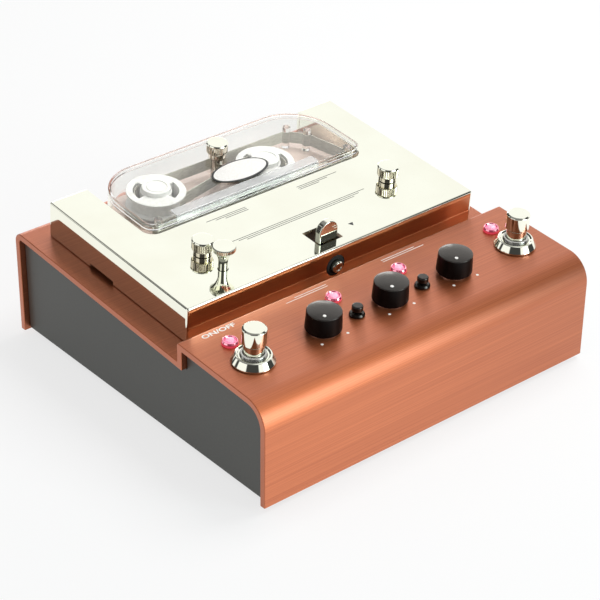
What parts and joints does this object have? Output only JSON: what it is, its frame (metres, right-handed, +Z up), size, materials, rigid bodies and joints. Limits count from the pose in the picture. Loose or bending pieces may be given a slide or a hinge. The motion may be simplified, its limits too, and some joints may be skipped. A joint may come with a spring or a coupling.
{
  "type": "tape echo unit",
  "caption": "Tape echo unit with a polished tape deck, a clear loop cartridge with reels, rotary knobs, push buttons and footswitches.",
  "frame": {"origin": "bottom centre of the whole unit, on the surface that it stands on", "axes": "+X to the right along the front, +Y to the back, +Z up; the controls' edge is at -Y"},
  "size_m": [0.2, 0.1944, 0.0883],
  "materials": {
    "copper_sheet": "copper-coloured sheet, brushed along its width",
    "dark_paint": "satin dark grey-green paint",
    "polished_nickel": "mirror-polished nickel plate",
    "bright_steel": "plain bright steel",
    "plain_aluminium": "plain sheet",
    "turned_brass": "turned",
    "black_plastic": "gloss black",
    "clear_plastic": "clear moulded plastic",
    "white_plastic": "white moulded plastic",
    "tape": "brown-grey magnetic tape",
    "rubber": "matt black rubber",
    "pink_lens": "pink lit lens in a chrome bezel",
    "green_board": "green printed circuit board"
  },
  "bodies": {
    "chassis": {"chassis_shell": "copper_sheet", "side_panel_left": "dark_paint", "side_panel_right": "dark_paint", "base_plate": "dark_paint", "foot_front_left": "rubber", "foot_front_right": "rubber", "foot_rear_left": "rubber", "foot_rear_right": "rubber", "deck_cover": "polished_nickel", "deck_plate": "plain_aluminium", "cartridge_pillar": "bright_steel", "erase_head": "bright_steel", "record_head": "bright_steel", "short_playback_head": "bright_steel", "long_playback_head": "bright_steel", "capstan_bearing": "turned_brass", "motor": "bright_steel", "drive_belt": "rubber", "level_pot": "plain_aluminium", "feedback_pot": "plain_aluminium", "time_pot": "plain_aluminium", "short_button_housing": "black_plastic", "long_button_housing": "black_plastic", "power_led": "pink_lens", "short_led": "pink_lens", "long_led": "pink_lens", "tap_led": "pink_lens", "on_footswitch": "bright_steel", "tap_footswitch": "bright_steel", "on_nut": "polished_nickel", "tap_nut": "polished_nickel", "main_board": "green_board", "input_jack": "bright_steel", "output_jack": "bright_steel", "power_inlet": "black_plastic"},
    "cartridge": {"cartridge_base": "clear_plastic", "cartridge_lid": "clear_plastic", "cartridge_badge": "white_plastic", "tape_loop": "tape"},
    "left_reel": {"left_reel": "white_plastic"},
    "right_reel": {"right_reel": "white_plastic"},
    "cartridge_thumbscrew": {"cartridge_thumbscrew": "polished_nickel"},
    "capstan": {"flywheel": "turned_brass", "capstan_shaft": "bright_steel"},
    "motor_pulley": {"motor_pulley": "turned_brass"},
    "pinch_arm": {"pinch_arm": "bright_steel"},
    "pinch_roller": {"pinch_roller": "rubber"},
    "lock_lever": {"lock_lever": "polished_nickel"},
    "release_knob": {"release_knob": "polished_nickel"},
    "cover_thumbscrew_left": {"cover_thumbscrew_left": "polished_nickel"},
    "cover_thumbscrew_right": {"cover_thumbscrew_right": "polished_nickel"},
    "front_screw": {"front_screw": "polished_nickel"},
    "level_knob": {"level_knob": "black_plastic"},
    "feedback_knob": {"feedback_knob": "black_plastic"},
    "time_knob": {"time_knob": "black_plastic"},
    "short_button": {"short_button": "black_plastic"},
    "long_button": {"long_button": "black_plastic"},
    "on_plunger": {"on_plunger": "polished_nickel"},
    "tap_plunger": {"tap_plunger": "polished_nickel"}
  },
  "joints": [
    {"name": "cartridge_lift", "type": "slide", "parent": "chassis", "child": "cartridge", "axis": [0, -0.0753, 0.9972], "range_m": [0, 0.03]},
    {"name": "left_reel_spin", "type": "hinge", "parent": "cartridge", "child": "left_reel", "pos_m": [-0.041, 0.05948, 0.06637], "axis": [0, -0.0753, 0.9972], "continuous": true},
    {"name": "right_reel_spin", "type": "hinge", "parent": "cartridge", "child": "right_reel", "pos_m": [0.02, 0.05061, 0.0657], "axis": [0, -0.0753, 0.9972], "continuous": true},
    {"name": "cartridge_screw_turn", "type": "hinge", "parent": "cartridge", "child": "cartridge_thumbscrew", "pos_m": [-0.001, 0.06209, 0.0796], "axis": [0, -0.0753, 0.9972], "continuous": true},
    {"name": "capstan_spin", "type": "hinge", "parent": "chassis", "child": "capstan", "pos_m": [0.048, 0.03495, 0.05389], "axis": [0, -0.0753, 0.9972], "continuous": true},
    {"name": "motor_spin", "type": "hinge", "parent": "chassis", "child": "motor_pulley", "pos_m": [-0.002, 0.02079, 0.05282], "axis": [0, -0.0753, 0.9972], "continuous": true},
    {"name": "pinch_swing", "type": "hinge", "parent": "chassis", "child": "pinch_arm", "pos_m": [0.058, 0.01413, 0.06134], "axis": [0, -0.0753, 0.9972], "range_deg": [0, 15.5]},
    {"name": "pinch_roller_spin", "type": "hinge", "parent": "pinch_arm", "child": "pinch_roller", "pos_m": [0.048, 0.0266, 0.06228], "axis": [0, -0.0753, 0.9972], "continuous": true},
    {"name": "lock_lever_slide", "type": "slide", "parent": "chassis", "child": "lock_lever", "axis": [0, 0.9972, 0.0753], "range_m": [0, 0.008]},
    {"name": "release_press", "type": "slide", "parent": "chassis", "child": "release_knob", "axis": [0, 0.0753, -0.9972], "range_m": [0, 0.0025], "stiffness_N_per_m": 400, "springref_m": -0.002},
    {"name": "left_thumbscrew_turn", "type": "hinge", "parent": "chassis", "child": "cover_thumbscrew_left", "pos_m": [-0.05515, 0.00382, 0.07039], "axis": [0, -0.0753, 0.9972], "continuous": true},
    {"name": "right_thumbscrew_turn", "type": "hinge", "parent": "chassis", "child": "cover_thumbscrew_right", "pos_m": [0.06035, 0.00382, 0.07039], "axis": [0, -0.0753, 0.9972], "continuous": true},
    {"name": "front_screw_turn", "type": "hinge", "parent": "chassis", "child": "front_screw", "pos_m": [0, -0.02733, 0.05791], "axis": [0, 0.9972, 0.0753], "continuous": true},
    {"name": "level_knob_turn", "type": "hinge", "parent": "chassis", "child": "level_knob", "pos_m": [-0.0405, -0.06581, 0.05677], "axis": [0, -0.0594, 0.9982], "range_deg": [-280, 0]},
    {"name": "feedback_knob_turn", "type": "hinge", "parent": "chassis", "child": "feedback_knob", "pos_m": [0, -0.06581, 0.05677], "axis": [0, -0.0594, 0.9982], "range_deg": [-280, 0]},
    {"name": "time_knob_turn", "type": "hinge", "parent": "chassis", "child": "time_knob", "pos_m": [0.0405, -0.06581, 0.05677], "axis": [0, -0.0594, 0.9982], "range_deg": [-280, 0]},
    {"name": "short_button_press", "type": "slide", "parent": "chassis", "child": "short_button", "axis": [0, 0.0594, -0.9982], "range_m": [0, 0.0008], "stiffness_N_per_m": 500, "springref_m": -0.001},
    {"name": "long_button_press", "type": "slide", "parent": "chassis", "child": "long_button", "axis": [0, 0.0594, -0.9982], "range_m": [0, 0.0008], "stiffness_N_per_m": 500, "springref_m": -0.001},
    {"name": "on_plunger_press", "type": "slide", "parent": "chassis", "child": "on_plunger", "axis": [0, 0.0594, -0.9982], "range_m": [0, 0.003], "stiffness_N_per_m": 1500, "springref_m": -0.002},
    {"name": "tap_plunger_press", "type": "slide", "parent": "chassis", "child": "tap_plunger", "axis": [0, 0.0594, -0.9982], "range_m": [0, 0.003], "stiffness_N_per_m": 1500, "springref_m": -0.002}
  ],
  "couplings": [
    {"joint": "motor_spin", "follows": "capstan_spin", "ratio": 4.5},
    {"joint": "left_reel_spin", "follows": "capstan_spin", "ratio": 0.12},
    {"joint": "right_reel_spin", "follows": "capstan_spin", "ratio": -0.12},
    {"joint": "pinch_roller_spin", "follows": "capstan_spin", "ratio": -0.21818},
    {"joint": "pinch_swing", "follows": "lock_lever_slide", "rad_per_m": 32.725}
  ]
}
